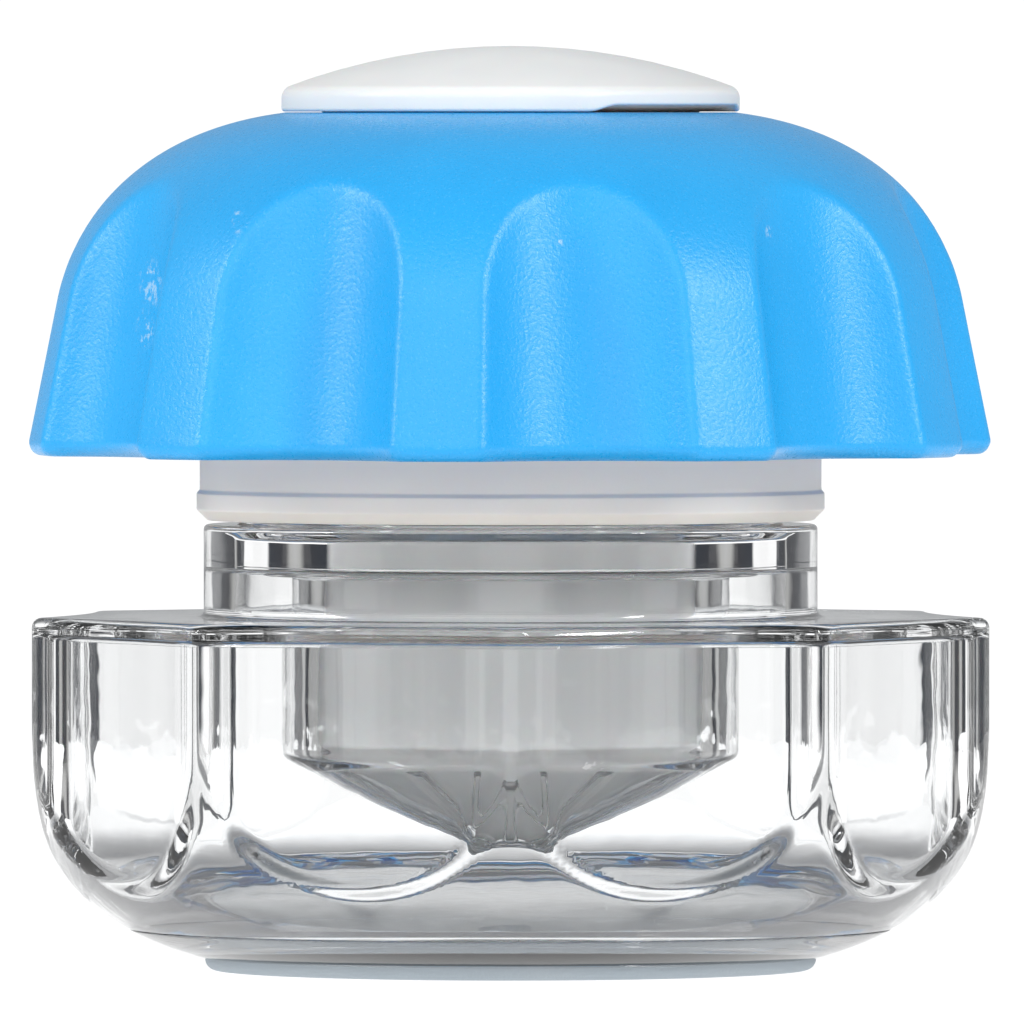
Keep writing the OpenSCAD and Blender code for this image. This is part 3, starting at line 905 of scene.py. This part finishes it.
WHITE = (1, 1, 1)
TABLE_R = 0.55
TABLE_BASE = (0.2, 0.2, 0.2, 1)
TABLE_LIT = (0.95, 0.95, 0.95)
TABLE_LIT_INSIDE = (1.7, 1.7, 1.7)
TABLE_SHADE = (0.12, 0.12, 0.125)
SHADE_R = (0.036, 0.08)          # where the shade starts and stops fading, in m
AMBIENT = (0.42, 0.43, 0.44)
KEY = (1.95, 1.95, 1.93)
KEY_TOWARDS = (-0.25, -0.9, 0.36)
KEY_SPREAD = (0.80, 0.97)
KEY_LIFT = (0.07, 0.2)           # heights between which the key fades in
SKY_DARK = (0.085, 0.09, 0.10)
SKY_LIFT = (0.05, 0.4)           # heights between which the panels give way to it
WORLD_STRENGTH = 1.05
INSIDE_STRENGTH = 0.75

# Panels behind the clear plastic, from straight on to 45 degrees off each axis.
PANELS = (
    (0.0, WHITE), (0.29, WHITE), (0.34, (0.025, 0.03, 0.04)),
    (0.74, (0.035, 0.035, 0.04)), (0.86, (0.4, 0.4, 0.39)), (1.0, (0.45, 0.45, 0.45)))

# Softboxes: name, place, width and height in m, power in W.
LAMPS = (
    ("right_strip", (0.72, -0.60, 0.50), (0.09, 0.42), 4.2),
    ("left_strip", (-0.92, -0.28, 0.50), (0.10, 0.42), 3.6))
LAMP_AIM_Z = 0.035

CAMERA_DISTANCE = 1.6
CAMERA_Z = 0.061
CAMERA_AIM = (0.0001, 0, 0.03235)
VIEW_WIDTH = 0.0724              # width seen at the crusher, in m
SENSOR = 36


def through_clear(nodes):
    """1 on rays that came through clear plastic, and 1 on those that scattered."""
    scattered = nodes.add("LightPath", out="Diffuse Depth").low(1)
    return nodes.add("LightPath", out="Is Transmission Ray"), scattered


def seen_through(nodes):
    """1 on what shows through clear plastic, 0 on what lights the crusher."""
    passed, scattered = through_clear(nodes)
    return passed * (1 - scattered)


def inside(nodes):
    """1 on light that reaches a white piece through clear plastic."""
    passed, scattered = through_clear(nodes)
    return passed * scattered


def white_to_camera(nodes, light):
    """Pure white where the camera looks straight at it, else the light."""
    return nodes.mix(nodes.add("LightPath", out="Is Camera Ray"), light, WHITE)


def make_floor():
    """A round white table that glows: white to the camera, a painted shade ring round the crusher
    where it is seen through clear plastic, and a painted glow that lights the crusher from below,
    stronger on light that reaches the white pieces through clear plastic.
    """
    bm = bmesh.new()
    bmesh.ops.create_circle(bm, cap_ends=True, segments=128, radius=TABLE_R)
    mesh = bpy.data.meshes.new("table")
    bm.to_mesh(mesh)
    bm.free()
    material, nodes, shader = new_finish(
        "table_white", Roughness=0.9, Base_Color=TABLE_BASE, Emission_Strength=0.95)
    out = nodes.add("VectorMath", {"operation": "LENGTH"}, out=1, _0=nodes.place())
    # Painted shade: a dark ring round the crusher's foot, shown only through clear plastic.
    shade = nodes.mix(nodes.ramp(out, *SHADE_R), TABLE_SHADE, WHITE)
    lit = nodes.mix(inside(nodes), TABLE_LIT, TABLE_LIT_INSIDE)
    light = nodes.mix(seen_through(nodes), lit, shade)
    feed(nodes, shader, Emission_Color=white_to_camera(nodes, light))
    mesh.materials.append(material)
    table = bpy.data.objects.new("table", mesh)
    scene.collection.objects.link(table)


def make_world():
    """A pale studio: bright panels behind each side, dark gaps between them."""
    world = bpy.data.worlds.new("studio")
    scene.world = world
    world.use_nodes = True
    tree = world.node_tree
    nodes = Nodes(tree)
    direction = nodes.add("TexCoord", out=0)
    parts = tree.nodes.new("ShaderNodeSeparateXYZ")
    tree.links.new(direction.socket, parts.inputs[0])
    x, y, z = [Value(tree, socket) for socket in parts.outputs]
    side = abs(x).low(abs(y)) / abs(x).top(abs(y))
    panels = nodes.add("ValToRGB", {"stops": PANELS}, _0=side)
    backdrop = nodes.mix(nodes.ramp(z, *SKY_LIFT), panels, SKY_DARK)
    towards_key = KEY_TOWARDS[0] * x + KEY_TOWARDS[1] * y + KEY_TOWARDS[2] * z
    key = nodes.ramp(towards_key, *KEY_SPREAD) * nodes.ramp(z, *KEY_LIFT)
    studio = nodes.mix(key, AMBIENT, KEY)
    light = nodes.mix(seen_through(nodes), studio, backdrop)
    strength = WORLD_STRENGTH + INSIDE_STRENGTH * inside(nodes)
    background = tree.nodes["Background"]
    tree.links.new(white_to_camera(nodes, light).socket, background.inputs["Color"])
    tree.links.new(strength.socket, background.inputs["Strength"])


def make_lamp(name, place, size, power):
    """A softbox aimed at the middle of the crusher."""
    light = bpy.data.lights.new(name, "AREA")
    light.shape = "RECTANGLE"
    light.size, light.size_y = size
    light.energy = power
    lamp = bpy.data.objects.new(name, light)
    scene.collection.objects.link(lamp)
    lamp.location = place
    aim = Vector((0, 0, LAMP_AIM_Z)) - Vector(place)
    lamp.rotation_euler = aim.to_track_quat("-Z", "Y").to_euler()


def make_camera():
    """A long lens a little below the lid's height, looking slightly down."""
    target = Vector(CAMERA_AIM)
    data = bpy.data.cameras.new("camera")
    camera = bpy.data.objects.new("camera", data)
    scene.collection.objects.link(camera)
    camera.location = (target.x, -CAMERA_DISTANCE, CAMERA_Z)
    aim = target - camera.location
    camera.rotation_euler = aim.to_track_quat("-Z", "Y").to_euler()
    data.sensor_width = SENSOR
    data.lens = SENSOR * aim.length / VIEW_WIDTH
    data.clip_end = 20
    scene.camera = camera


make_camera()
make_floor()
make_world()
for lamp in LAMPS:
    make_lamp(*lamp)

clear = clear_plastic()
lid_white = white_plastic("satin_white", *LID_WHITES)
# The collar's white is a painted-light copy of the white plastic, warmed against blue bounce light
# from the knob.
collar_white_painted_warm = white_plastic("collar_white_painted_warm", *COLLAR_WHITES_PAINTED_WARM)
# The plunger's white is a painted-light copy of the white plastic, brightened to make up for light
# lost through the clear plastic.
inner_white_painted_bright = white_plastic("inner_white_painted_bright", *INNER_WHITES_PAINTED_BRIGHT)
make_foot_pad(foot_rubber())
make_base_bowl(clear)
make_base_shell(clear)
make_crushing_well(clear)
make_seal_ring(seal_rubber())
make_collar(collar_white_painted_warm)
make_plunger(inner_white_painted_bright)
make_knob(blue_plastic())
make_storage_cup(lid_white)
make_lid(lid_white)

scene.view_settings.view_transform = "Standard"
scene.cycles.max_bounces = 32
scene.cycles.transmission_bounces = 24
scene.cycles.glossy_bounces = 12
